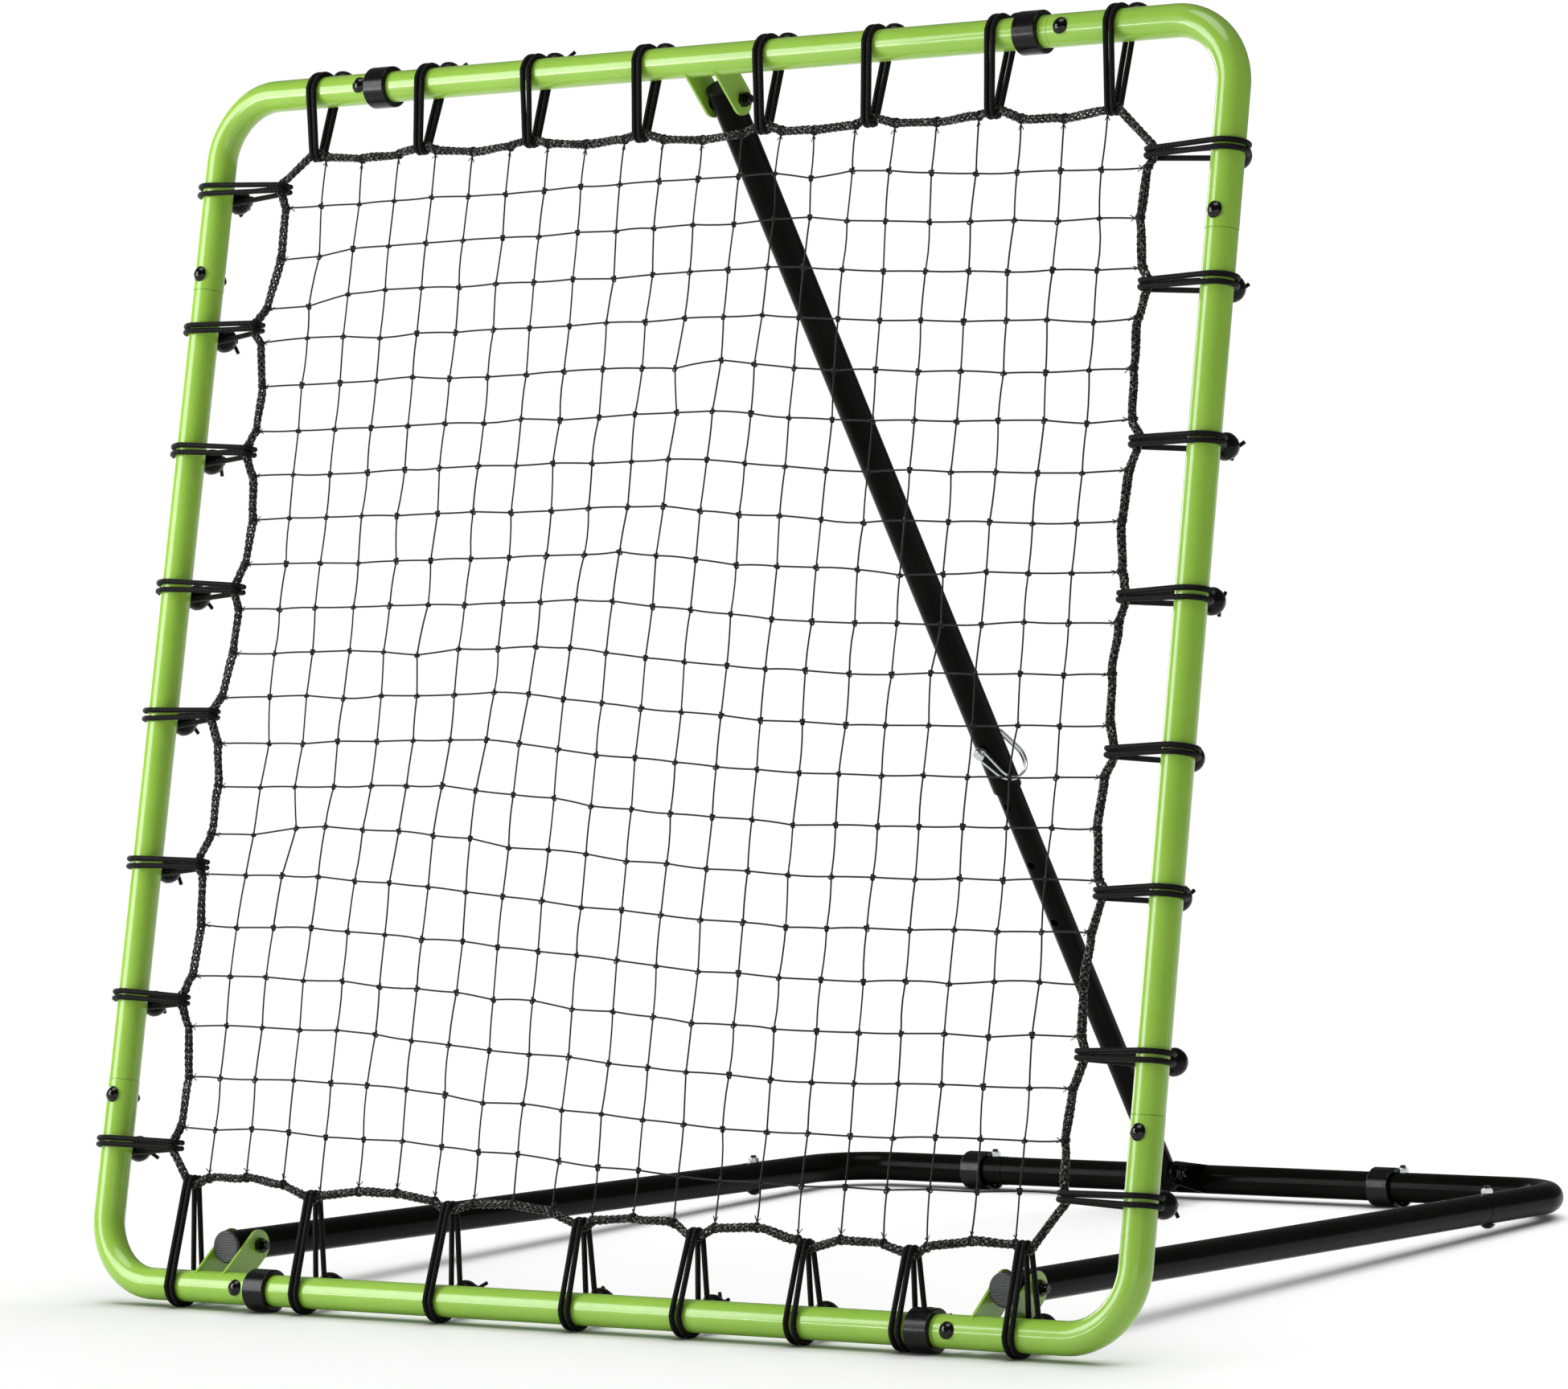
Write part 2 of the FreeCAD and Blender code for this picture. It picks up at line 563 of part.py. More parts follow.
def make_base():
    half = BASE_WIDTH / 2
    hinge, foot = in_space(BASE_PLACE, HINGE), in_space(BASE_PLACE, FOOT_PIVOT)
    front = hinge.y - CAP_FACE_FROM_HINGE
    bolts = []
    for name, side in (("left", -1), ("right", 1)):
        corner = V(side * half, 0, 0)
        mine = [
            corner + X * (-side * (BASE_REAR_LEG - BOLT_FROM_SEAM)),
            corner + FRONT * (BASE_SIDE_LEG - BOLT_FROM_SEAM),
        ]
        bolts += mine
        shape = corner_tube(corner, X * -side, FRONT, BASE_REAR_LEG, BASE_SIDE_LEG)
        node("base_corner_tube_" + name, BASE_PLACE, [drilled(shape, mine, Z, SCREW_HOLE_R)])

        seam, end = V(side * half, -BASE_SIDE_LEG, 0), V(side * half, front + CAP_LIP, 0)
        spigot_r = CORNER_R - WALL - FIT
        shoulder = seam - Y * SEAM_GAP
        tube = rod(end, shoulder, TUBE_R).fuse(rod(shoulder, seam + Y * SPIGOT, spigot_r))
        tube = tube.cut(rod(end - Y, shoulder - Y * WALL, TUBE_R - WALL))
        tube = tube.cut(rod(end, seam + Y * (SPIGOT + 1), spigot_r - WALL))
        tube = drilled(tube, mine[1:], Z, SCREW_HOLE_R)
        at_hinge = V(side * half, hinge.y, hinge.z)
        node("base_side_tube_" + name, BASE_PLACE, [drilled(tube, [at_hinge], X, PIVOT_HOLE_R)])

        lip_end = V(side * half, front, 0)
        lip = rod(lip_end, lip_end + Y * CAP_LIP, CAP_LIP_R)
        lip = lip.makeFillet(CAP_LIP - 0.8, [e for e in lip.Edges if abs(e.CenterOfMass.y - front) < 1e-3])
        plug = rod(lip_end + Y * (CAP_LIP - 0.5), lip_end + Y * CAP_PLUG, TUBE_R - WALL - 0.05)
        plug = plug.cut(rod(lip_end + Y * (CAP_LIP + 2), lip_end + Y * (CAP_PLUG + 1), 11.5))
        node("base_end_cap_" + name, BASE_PLACE, [lip.fuse(plug)])

    reach = half - BASE_REAR_LEG
    rear = drilled(straight_tube(V(-reach, 0, 0), V(reach, 0, 0)), bolts, Z, SCREW_HOLE_R)
    node("base_rear_tube", BASE_PLACE, [rear])
    node("base_joint_bolts", BASE_PLACE, [carriage_bolt(p, Z * -1, CORNER_R) for p in bolts])
    node("base_joint_nuts", BASE_PLACE, [lock_nut(p, Z * -1, CORNER_R) for p in bolts])
    for side, x in zip(("left", "right"), REAR_COLLARS):
        collar = plastic_collar(V(x, 0, 0))
        node("base_collar_" + side, BASE_PLACE, [collar])

    sides = (-half, half)
    node("hinge_bolts", BASE_PLACE, [pivot_bolt(hinge, x, CORNER_R) for x in sides])
    node("hinge_nuts", BASE_PLACE, [pivot_nut(hinge, x, CORNER_R) for x in sides])
    ears = bracket(0, V(0, 0, 0), TUBE_R, foot, STRUT_LOWER_R, FOOT_EAR_R)
    node("strut_foot_bracket", BASE_PLACE, ears)
    node("strut_foot_bolt", BASE_PLACE, [pivot_bolt(foot, 0, STRUT_LOWER_R)])
    node("strut_foot_nut", BASE_PLACE, [pivot_nut(foot, 0, STRUT_LOWER_R)])
    node("strut_foot_washers", BASE_PLACE, spacers(foot, 0, STRUT_LOWER_R))


# Strut --------------------------------------------------------------------------------------------
# In the strut's own space its top pivot is the origin, -Z runs down the strut and +Y is its upper side.


def make_strut():
    down = Z * -1
    pin = down * PIN_FROM_TOP
    upper_bore = STRUT_UPPER_R - STRUT_WALL
    upper = rod(Z * STRUT_END, down * STRUT_UPPER_END, STRUT_UPPER_R)
    upper = upper.cut(rod(Z * (STRUT_END + 1), down * (STRUT_UPPER_END + 1), upper_bore))
    upper = drilled(upper, [V(0, 0, 0)], X, PIVOT_HOLE_R)
    node("strut_upper_tube", STRUT_PLACE, [drilled(upper, [pin], Y, PIN_HOLE_R)])

    plug_end = Z * (STRUT_END + 2.5)
    plug = rod(plug_end, plug_end - Z * 2.5, STRUT_UPPER_R)
    plug = plug.fuse(rod(plug_end - Z * 2.5, plug_end - Z * 10, upper_bore - 0.05))
    node("strut_top_plug", STRUT_PLACE, [plug])

    foot = down * STRUT_LENGTH
    top_end = pin + Z * LOWER_ABOVE_PIN
    lower = rod(top_end, foot - Z * STRUT_END, STRUT_LOWER_R)
    lower = lower.cut(rod(top_end + Z, foot - Z * (STRUT_END + 1), STRUT_LOWER_R - STRUT_WALL))
    holes = [pin + down * (HOLE_STEP * k) for k in range(HOLE_COUNT)]
    lower = drilled(drilled(lower, holes, Y, PIN_HOLE_R), [foot], X, PIVOT_HOLE_R)
    node("strut_lower_tube", STRUT_PLACE, [lower])

    plug_end = foot - Z * (STRUT_END + 2.5)
    plug = rod(plug_end, plug_end + Z * 2.5, STRUT_LOWER_R)
    plug = plug.fuse(rod(plug_end + Z * 2.5, plug_end + Z * 10, STRUT_LOWER_R - STRUT_WALL - 0.05))
    node("strut_foot_plug", STRUT_PLACE, [plug])

    seat = pin + FRONT * (STRUT_UPPER_R + PIN_NECK)
    tip = pin + Y * (STRUT_UPPER_R + PIN_TIP)
    head_end = seat + FRONT * PIN_HEAD
    hole = seat + FRONT * (PIN_HEAD / 2)
    swing = (X * BAIL_SIDE + down * math.sqrt(1 - BAIL_SIDE**2)).normalize()
    cross = swing.cross(Y).normalize()
    body = rod(tip, seat, PIN_R).fuse(rod(seat, head_end, PIN_HEAD_R))
    body = body.makeFillet(1.2, [e for e in body.Edges if abs(e.CenterOfMass.y - head_end.y) < 1e-3])
    for side in (cross, cross * -1):
        body = body.cut(rod(hole + side * PIN_HEAD_FLAT, hole + side * (PIN_HEAD_R + 1), PIN_HEAD_R + 2))
    body = body.cut(rod(hole - cross * 10, hole + cross * 10, BAIL_R + 0.05))
    node("snap_pin", STRUT_PLACE, [body])

    # the bail is one wire: out of one side of the head, round the tube, over the pin's tip, and back
    beyond = tip + Y * (BAIL_R + 0.3)
    turn = (beyond.y - hole.y) / 2
    wide = PIN_HEAD_FLAT + BAIL_R + 0.7
    leg = [
        hole + cross * (PIN_HEAD_FLAT - 2),
        hole + cross * wide,
        hole + swing * BAIL_DEPTH + cross * BAIL_HALF,
        beyond + swing * BAIL_DEPTH + cross * BAIL_HALF,
        beyond + cross * BAIL_HALF,
    ]
    back = [p - cross * (2 * (p - hole).dot(cross)) for p in leg[::-1]]
    bends = [BAIL_R + 0.5, turn * 0.97, turn * 0.97, BAIL_HALF * 0.97]
    bail = pipe(rounded_path(leg + back, bends + bends[::-1]), leg[0], cross, BAIL_R)
    node("snap_pin_bail", STRUT_PLACE, [bail])
    print("bail hinge", in_row(STRUT_PLACE.multVec(hole)), "axis", in_row(turned(cross, STRUT_ANGLE)))
    print("pin axis", in_row(turned(FRONT, STRUT_ANGLE)))


def in_row(v):
    return [round(c, 6) for c in (v.x, v.y, v.z)]


make_net_frame()
make_net()
make_bungees()
make_base()
make_strut()
print("hinge", in_row(HINGE), "top pivot", in_row(TOP_PIVOT), "foot pivot", in_row(FOOT_PIVOT))
print("strut length", round(STRUT_LENGTH, 3), "strut angle", round(STRUT_ANGLE, 4))

os.makedirs("parts", exist_ok=True)
for name, shape in NODES.items():
    shape.exportStep(f"parts/{name}.step")
    state = "valid" if shape.isValid() else "BAD"
    print(name, len(shape.Solids), "solids", round(shape.Volume), "mm3", state)
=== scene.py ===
import math
import random

import bpy
import numpy as np
from mathutils import Matrix, Vector

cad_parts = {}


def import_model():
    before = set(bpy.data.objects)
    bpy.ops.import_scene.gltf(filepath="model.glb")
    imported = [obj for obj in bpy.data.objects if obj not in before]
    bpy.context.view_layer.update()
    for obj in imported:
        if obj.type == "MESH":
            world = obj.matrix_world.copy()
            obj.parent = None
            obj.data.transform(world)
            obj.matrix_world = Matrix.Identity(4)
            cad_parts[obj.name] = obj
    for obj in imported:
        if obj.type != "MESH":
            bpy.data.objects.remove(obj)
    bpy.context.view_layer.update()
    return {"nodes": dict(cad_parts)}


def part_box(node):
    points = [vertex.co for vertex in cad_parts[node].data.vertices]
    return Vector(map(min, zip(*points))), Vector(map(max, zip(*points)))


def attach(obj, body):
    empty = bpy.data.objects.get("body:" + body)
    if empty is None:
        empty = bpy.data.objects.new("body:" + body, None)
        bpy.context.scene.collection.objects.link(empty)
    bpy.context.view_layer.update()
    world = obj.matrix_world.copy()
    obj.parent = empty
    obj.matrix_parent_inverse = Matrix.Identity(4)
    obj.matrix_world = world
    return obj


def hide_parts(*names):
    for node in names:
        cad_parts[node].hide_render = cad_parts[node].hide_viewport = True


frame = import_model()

# The looks of the pitch back rebounder. Every CAD tube, bracket, fastener, collar and pin stays and gets
# a better material. The net, its border rope and the ball bungees are built here in the places of their
# plain CAD nodes. Lengths are in metres. A "local" point is (right, back, up) from the middle of the
# bottom tube, in the leaning net frame's own directions.

MM = 0.001
draw = random.Random(11)

# ---------------------------------------------------------------- sizes

# Shared with the CAD
TUBE_R = 15.0 * MM
CORNER_TUBE_R = 15.25 * MM
CORNER_REACH = 194 * MM
CORD_R = 2.6 * MM
CAD_ROPE_R = 4.0 * MM
BALL_R = 12.5 * MM
CLEARANCE = 0.1 * MM

# Border rope: four strands laid one way and four the other. It sags towards the net from bungee to
# bungee, is straight where an elastic loop holds it, and runs straight over the middle of a long gap.
ROPE_R = 3.9 * MM
ROPE_LAY = 26 * MM
STRANDS = 4
STRAND_RING_R = 3.1 * MM
STRAND_WEAVE = 0.55 * MM
STRAND_HALF_WIDE, STRAND_HALF_THICK = 1.45 * MM, 0.85 * MM
ROPE_STEP = 1.7 * MM
ROPE_SAG = {"bottom": 12 * MM, "right": 9.5 * MM, "top": 9.5 * MM, "left": 16 * MM}
SAG_POWER = 0.62
LOOP_HALF_WIDTH = 4 * MM
LONG_GAP = 15 * MM
TAUT_SHARE = 0.22

# Net
COLUMNS = ROWS = 21
PITCH = 45.6 * MM
NET_MIDDLE_X, NET_MIDDLE_Z = 0.1 * MM, 596.4 * MM
STRING_R = 0.84 * MM
TIE_R, TUFT_R = 0.62 * MM, 0.5 * MM
TIE_RING_R = ROPE_R + 0.5 * MM
TIE_SPACING = 0.9 * MM
NET_KNOT = np.array([0.9, 1.0, 1.0]) * MM

# How many sides each kind of line has around it
CORD_SIDES, TAIL_SIDES, STRING_SIDES, TIE_SIDES, FINE_SIDES = 9, 8, 6, 5, 4

# Balls and their knots
HOLE_R, RIM_R = 3.4 * MM, 4.6 * MM
RIM_CHAMFER = 0.4 * MM
SEAM_RIDGE = 0.28 * MM
BALL_SIDES, BALL_RINGS = 28, 19
KNOT_SIZE, KNOT_CORD_R, TAIL_R = 1.35 * MM, 1.7 * MM, 1.8 * MM
KNOT_STANDS_OFF = 0.9 * MM

# ---------------------------------------------------------------- places, all from the CAD nodes


def middle(node):
    low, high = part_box(node)
    return np.array((low + high) / 2)


def unit(v):
    return v / np.linalg.norm(v)


X, Y, Z = np.eye(3)
BOTTOM = middle("frame_bottom_tube")
TOP = middle("frame_top_tube")
SPAN = float(np.linalg.norm(TOP - BOTTOM))
HALF = SPAN / 2
UP = unit(TOP - BOTTOM)
AXES = np.array([X, np.cross(UP, X), UP])

# For each side: the axis along its bar, by number and as a vector, the bar's middle and the way to the net
SIDES = {
    "bottom": (0, X, 0 * Z, Z),
    "right": (2, Z, HALF * X, -X),
    "top": (0, X, SPAN * Z, -Z),
    "left": (2, Z, -HALF * X, X),
}


def world(local):
    return BOTTOM + np.asarray(local) @ AXES


def local_points(node):
    mesh = frame["nodes"][node].data
    co = np.zeros(len(mesh.vertices) * 3)
    mesh.vertices.foreach_get("co", co)
    return (co.reshape(-1, 3) - BOTTOM) @ AXES.T


def clusters(points, axis, gap=12 * MM):
    """Splits a node's points into its repeats along a bar."""
    points = points[np.argsort(points[:, axis])]
    cuts = np.where(np.diff(points[:, axis]) > gap)[0] + 1
    return np.split(points, cuts)


def bungee_places(side):
    """(place along the bar, rope's distance from the bar, ball's centre) for each bungee of a side."""
    axis, _, bar, inward = SIDES[side]
    found = []
    loops = clusters(local_points("bungee_cords_" + side), axis)
    balls = clusters(local_points("bungee_balls_" + side), axis)
    for cords, ball in zip(loops, balls):
        place = (cords[:, axis].min() + cords[:, axis].max()) / 2
        reach = ((cords - bar) @ inward).max()
        drop = reach - 2 * CORD_R - CAD_ROPE_R - CLEARANCE
        found.append((place, drop, (ball.min(0) + ball.max(0)) / 2))
    return found


BUNGEES = {side: bungee_places(side) for side in SIDES}

# ---------------------------------------------------------------- mesh building


class Build:
    """Collects quads and triangles, with UVs in metres along and turns around, into one mesh."""

    def __init__(self):
        self.verts, self.faces, self.uvs, self.count = [], [], [], 0

    def add(self, verts, faces, uvs):
        self.verts.append(verts)
        self.faces.append(faces + self.count)
        self.uvs.append(uvs)
        self.count += len(verts)

    def grid(self, rings, along=None):
        """Joins closed rings, given as (rings, points in each, 3), by quads."""
        n, m = rings.shape[:2]
        i, j = np.meshgrid(np.arange(n - 1), np.arange(m), indexing="ij")
        i, j = i.ravel(), j.ravel()
        k = (j + 1) % m
        faces = np.stack([i * m + j, i * m + k, (i + 1) * m + k, (i + 1) * m + j], 1)
        if along is None:
            along = np.r_[0, np.cumsum(np.linalg.norm(np.diff(rings.mean(1), axis=0), axis=1))]
        u, v = along, np.arange(m + 1) / m
        corners = [(u[i], v[j]), (u[i], v[j + 1]), (u[i + 1], v[j + 1]), (u[i + 1], v[j])]
        uvs = np.stack([np.stack(corner, 1) for corner in corners], 1)
        self.add(rings.reshape(-1, 3), faces, uvs)

    def cap(self, ring, flip=False):
        """Closes a ring with triangles from its middle, kept as quads whose last two corners are one."""
        m = len(ring)
        a = np.arange(m)
        b = (a + 1) % m
        if flip:
            a, b = b, a
        centre = np.full(m, m)
        self.add(np.vstack([ring, ring.mean(0)]), np.stack([a, b, centre, centre], 1), np.zeros((m, 4, 2)))

    def finish(self, name, material, body, slot, replaces=()):
        faces = np.vstack(self.faces)
        is_triangle = faces[:, 2] == faces[:, 3]
        polys = [tuple(f[:3]) if three else tuple(f) for f, three in zip(faces.tolist(), is_triangle)]
        mesh = bpy.data.meshes.new(name)
        mesh.from_pydata(np.vstack(self.verts).tolist(), [], polys)
        keep = np.ones((len(faces), 4), bool)
        keep[is_triangle, 3] = False
        layer = mesh.uv_layers.new(name="UVMap")
        layer.data.foreach_set("uv", np.vstack(self.uvs)[keep].ravel())
        mesh.polygons.foreach_set("use_smooth", [True] * len(polys))
        mesh.update()
        obj = bpy.data.objects.new(name, mesh)
        bpy.context.scene.collection.objects.link(obj)
        mesh.materials.append(material)
        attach(obj, body)
        if replaces:
            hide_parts(*replaces)


def unit_rows(vectors):
    return vectors / np.linalg.norm(vectors, axis=1)[:, None]


def side_directions(points):
    """Two directions across a line that don't twist along it."""
    tangents = unit_rows(np.gradient(points, axis=0))
    any_way = [0.3, 0.5, 0.8]
    side = unit(np.cross(tangents[0], any_way))
    sides = [side]
    for t in tangents[1:]:
        side = unit(side - t * (side @ t))
        sides.append(side)
    sides = np.array(sides)
    return sides, np.cross(tangents, sides)


def skin(points, side, lift, half_wide, half_thick, sides, start=0.0):
    """An oval ring of that many sides round each point of a line."""
    angles = 2 * np.pi * np.arange(sides) / sides + start
    return (points[:, None, :]
            + side[:, None, :] * (half_wide * np.cos(angles))[:, None]
            + lift[:, None, :] * (half_thick * np.sin(angles))[:, None])


def tube(build, points, radius, sides, capped=True):
    points = np.asarray(points)
    side, lift = side_directions(points)
    rings = skin(points, side, lift, radius, radius, sides)
    build.grid(rings)
    if capped:
        build.cap(rings[0], flip=True)
        build.cap(rings[-1])


def smooth(points, step):
    """A Catmull-Rom line through the points, in steps of about that length."""
    p = np.asarray(points, float)
    p = np.vstack([2 * p[0] - p[1], p, 2 * p[-1] - p[-2]])
    out = []
    for a, b, c, d in zip(p, p[1:], p[2:], p[3:]):
        n = max(1, int(round(np.linalg.norm(c - b) / step)))
        t = (np.arange(n) / n)[:, None]
        out.append(0.5 * (2 * b + (c - a) * t + (2 * a - 5 * b + 4 * c - d) * t**2
                          + (3 * b - a - 3 * c + d) * t**3))
    out.append(p[-2:-1])
    return np.vstack(out)


def even(points, step):
    """The same line in steps of one length, and each new point's distance along it."""
    gaps = np.linalg.norm(np.diff(points, axis=0), axis=1)
    at = np.r_[0, np.cumsum(gaps)]
    want = np.linspace(0, at[-1], int(at[-1] / step) + 1)
    return np.stack([np.interp(want, at, points[:, k]) for k in range(3)], 1), want


def trefoil(steps, depth):
    """An overhand knot's line: its two coordinates across the knot and the one through it."""
    t = np.linspace(0, 2 * np.pi, steps + 1)
    return np.sin(t) + 2 * np.sin(2 * t), np.cos(t) - 2 * np.cos(2 * t), -depth * np.sin(3 * t)


def scatter(*spreads):
    """A small random offset, with a spread in millimetres for each axis."""
    return np.array([draw.gauss(0, spread) for spread in spreads]) * MM


# ---------------------------------------------------------------- shader parts


def sockets(material):
    nodes = material.node_tree.nodes
    return nodes, material.node_tree.links, nodes["Principled BSDF"]


def new_material(name, roughness, metallic=0.0, specular=0.5, coat=0.0, coat_roughness=0.1, sheen=0.0):
    material = bpy.data.materials.new(name)
    material.use_nodes = True
    shader = material.node_tree.nodes["Principled BSDF"]
    shader.inputs["Roughness"].default_value = roughness
    shader.inputs["Metallic"].default_value = metallic
    shader.inputs["Specular IOR Level"].default_value = specular
    shader.inputs["Coat Weight"].default_value = coat
    shader.inputs["Coat Roughness"].default_value = coat_roughness
    shader.inputs["Sheen Weight"].default_value = sheen
    return material


def connect(material, source, socket):
    _, links, shader = sockets(material)
    links.new(source, shader.inputs[socket])


def object_place(material):
    nodes, _, _ = sockets(material)
    return nodes.new("ShaderNodeTexCoord").outputs["Object"]


def noise(material, scale, detail, roughness=0.5, stretch=(1, 1, 1)):
    nodes, links, _ = sockets(material)
    mapping = nodes.new("ShaderNodeMapping")
    mapping.inputs["Scale"].default_value = stretch
    texture = nodes.new("ShaderNodeTexNoise")
    texture.inputs["Scale"].default_value = scale
    texture.inputs["Detail"].default_value = detail
    texture.inputs["Roughness"].default_value = roughness
    links.new(object_place(material), mapping.inputs["Vector"])
    links.new(mapping.outputs["Vector"], texture.inputs["Vector"])
    return texture.outputs["Fac"]


def ramp(material, source, stops):
    nodes, links, _ = sockets(material)
    node = nodes.new("ShaderNodeValToRGB")
    elements = node.color_ramp.elements
    while len(elements) < len(stops):
        elements.new(0.5)
    for element, (place, colour) in zip(elements, stops):
        element.position = place
        element.color = (*colour, 1)
    links.new(source, node.inputs["Fac"])
    return node.outputs["Color"]


def to_range(material, source, low, high, start=0.3, end=0.7):
    nodes, links, _ = sockets(material)
    node = nodes.new("ShaderNodeMapRange")
    node.inputs["From Min"].default_value = start
    node.inputs["From Max"].default_value = end
    node.inputs["To Min"].default_value = low
    node.inputs["To Max"].default_value = high
    links.new(source, node.inputs["Value"])
    return node.outputs["Result"]


def uneven_roughness(material, scale, detail, roughness, less, more):
    connect(material, to_range(material, noise(material, scale, detail), roughness - less, roughness + more),
            "Roughness")


def bump(material, heights):
    """heights: (source, strength, distance in metres), one on top of another."""
    nodes, links, shader = sockets(material)
    last = None
    for source, strength, distance in heights:
        node = nodes.new("ShaderNodeBump")
        node.inputs["Strength"].default_value = strength
        node.inputs["Distance"].default_value = distance
        links.new(source, node.inputs["Height"])
        if last:
            links.new(last, node.inputs["Normal"])
        last = node.outputs["Normal"]
    links.new(last, shader.inputs["Normal"])


def math_node(material, operation, a, b=None):
    """A node that works on numbers or on other nodes' outputs."""
    nodes, links, _ = sockets(material)
    node = nodes.new("ShaderNodeMath")
    node.operation = operation
    for socket, value in zip(node.inputs, (a, b)):
        if isinstance(value, (int, float)):
            socket.default_value = value
        elif value is not None:
            links.new(value, socket)
    return node.outputs["Value"]


def wave(material, source, period):
    """A sine along a length in metres."""
    return math_node(material, "SINE", math_node(material, "MULTIPLY", source, 2 * math.pi / period))


def axis_of(material, source, axis):
    """One coordinate, X, Y or Z, of a vector."""
    nodes, links, _ = sockets(material)
    split = nodes.new("ShaderNodeSeparateXYZ")
    links.new(source, split.inputs[0])
    return split.outputs[axis]


# ---------------------------------------------------------------- materials


def powder_coat(name, dark, main, light, roughness, coat, specular):
    """Gloss powder coat: slow drifts of shade, a faint orange-peel skin and fine specks."""
    m = new_material(name, roughness, specular=specular, coat=coat, coat_roughness=0.04)
    connect(m, ramp(m, noise(m, 14, 4), [(0.25, dark), (0.5, main), (0.78, light)]), "Base Color")
    uneven_roughness(m, 60, 5, roughness, 0.05, 0.09)
    bump(m, [(noise(m, 420, 2, 0.45), 0.035, 0.3 * MM), (noise(m, 2600, 1), 0.015, 0.1 * MM)])
    return m


def plain_plastic(name, dark, light, roughness, specular):
    m = new_material(name, roughness, specular=specular)
    connect(m, ramp(m, noise(m, 90, 4), [(0.3, dark), (0.7, light)]), "Base Color")
    uneven_roughness(m, 260, 4, roughness, 0.05, 0.07)
    return m


def moulded_plastic(name, dark, light, roughness, specular):
    """Plastic with the fine grain of its mould."""
    m = plain_plastic(name, dark, light, roughness, specular)
    bump(m, [(noise(m, 1800, 3), 0.05, 0.1 * MM)])
    return m


def ribbed_plastic(name, dark, light, roughness, specular, period):
    """Plastic with fine level lines across it."""
    m = plain_plastic(name, dark, light, roughness, specular)
    line = wave(m, axis_of(m, object_place(m), "Z"), period)
    bump(m, [(line, 0.5, 0.3 * MM), (noise(m, 1800, 3), 0.25, 0.15 * MM)])
    return m


def metal(name, dark, light, roughness, coat=0.0):
    """Metal with fine marks drawn out along one axis."""
    m = new_material(name, roughness, metallic=1.0, coat=coat, coat_roughness=0.05)
    connect(m, ramp(m, noise(m, 500, 5), [(0.25, dark), (0.75, light)]), "Base Color")
    uneven_roughness(m, 900, 5, roughness, 0.05, 0.1)
    bump(m, [(noise(m, 1500, 4, stretch=(1, 1, 6)), 0.06, 0.1 * MM)])
    return m


def braided(name, dark, light, pitch, starts, roughness):
    """A braid's two sets of crossing threads, from the UVs along and around a cord; its colour is darker in
    the hollows between threads, which is painted shade.
    """
    m = new_material(name, roughness, sheen=0.02, specular=0.1)
    nodes, _, _ = sockets(m)
    uv = nodes.new("ShaderNodeUVMap")
    uv.uv_map = "UVMap"
    along = math_node(m, "MULTIPLY", axis_of(m, uv.outputs["UV"], "X"), 2 * math.pi / pitch)
    around = math_node(m, "MULTIPLY", axis_of(m, uv.outputs["UV"], "Y"), 2 * math.pi * starts)
    left = math_node(m, "SINE", math_node(m, "ADD", along, around))
    right = math_node(m, "SINE", math_node(m, "SUBTRACT", along, around))
    height = to_range(m, math_node(m, "MAXIMUM", left, right), 0.0, 1.0, -0.2, 1.0)
    # Darker colour in the hollows between threads, lighter on their crowns: painted shade.
    connect(m, ramp(m, height, [(0.0, dark), (1.0, light)]), "Base Color")
    uneven_roughness(m, 700, 4, roughness, 0.08, 0.12)
    bump(m, [(height, 0.6, 0.4 * MM), (noise(m, 3500, 2), 0.3, 0.1 * MM)])
    return m


def twisted(name, dark, light, roughness, period, fleck=None):
    """Twisted twine: a ridge on upright and level strings alike, painted shade in its grooves, and painted
    glints on its threads.
    """
    m = new_material(name, roughness, sheen=0.03, specular=0.2)
    nodes, links, _ = sockets(m)
    dot = nodes.new("ShaderNodeVectorMath")
    dot.operation = "DOT_PRODUCT"
    dot.inputs[1].default_value = (1.0, 0.9, 1.1)
    links.new(object_place(m), dot.inputs[0])
    height = to_range(m, wave(m, dot.outputs["Value"], period), 0.0, 1.0, -1.0, 1.0)
    # The colour is darker in the grooves and lighter on the ridges: painted shade.
    colour = ramp(m, height, [(0.0, dark), (1.0, light)])
    # Pale specks mixed into the colour through a noise mask: painted glints of light on the threads.
    if fleck:
        mix = nodes.new("ShaderNodeMix")
        mix.data_type = "RGBA"
        links.new(to_range(m, noise(m, 520, 2), 0.0, 1.0, 0.56, 0.64), mix.inputs["Factor"])
        links.new(colour, mix.inputs["A"])
        mix.inputs["B"].default_value = (*fleck, 1)
        colour = mix.outputs["Result"]
    connect(m, colour, "Base Color")
    uneven_roughness(m, 1200, 3, roughness, 0.08, 0.1)
    bump(m, [(height, 0.5, 0.3 * MM), (noise(m, 4000, 2), 0.3, 0.1 * MM)])
    return m


def grey(value):
    return (value, value, value)


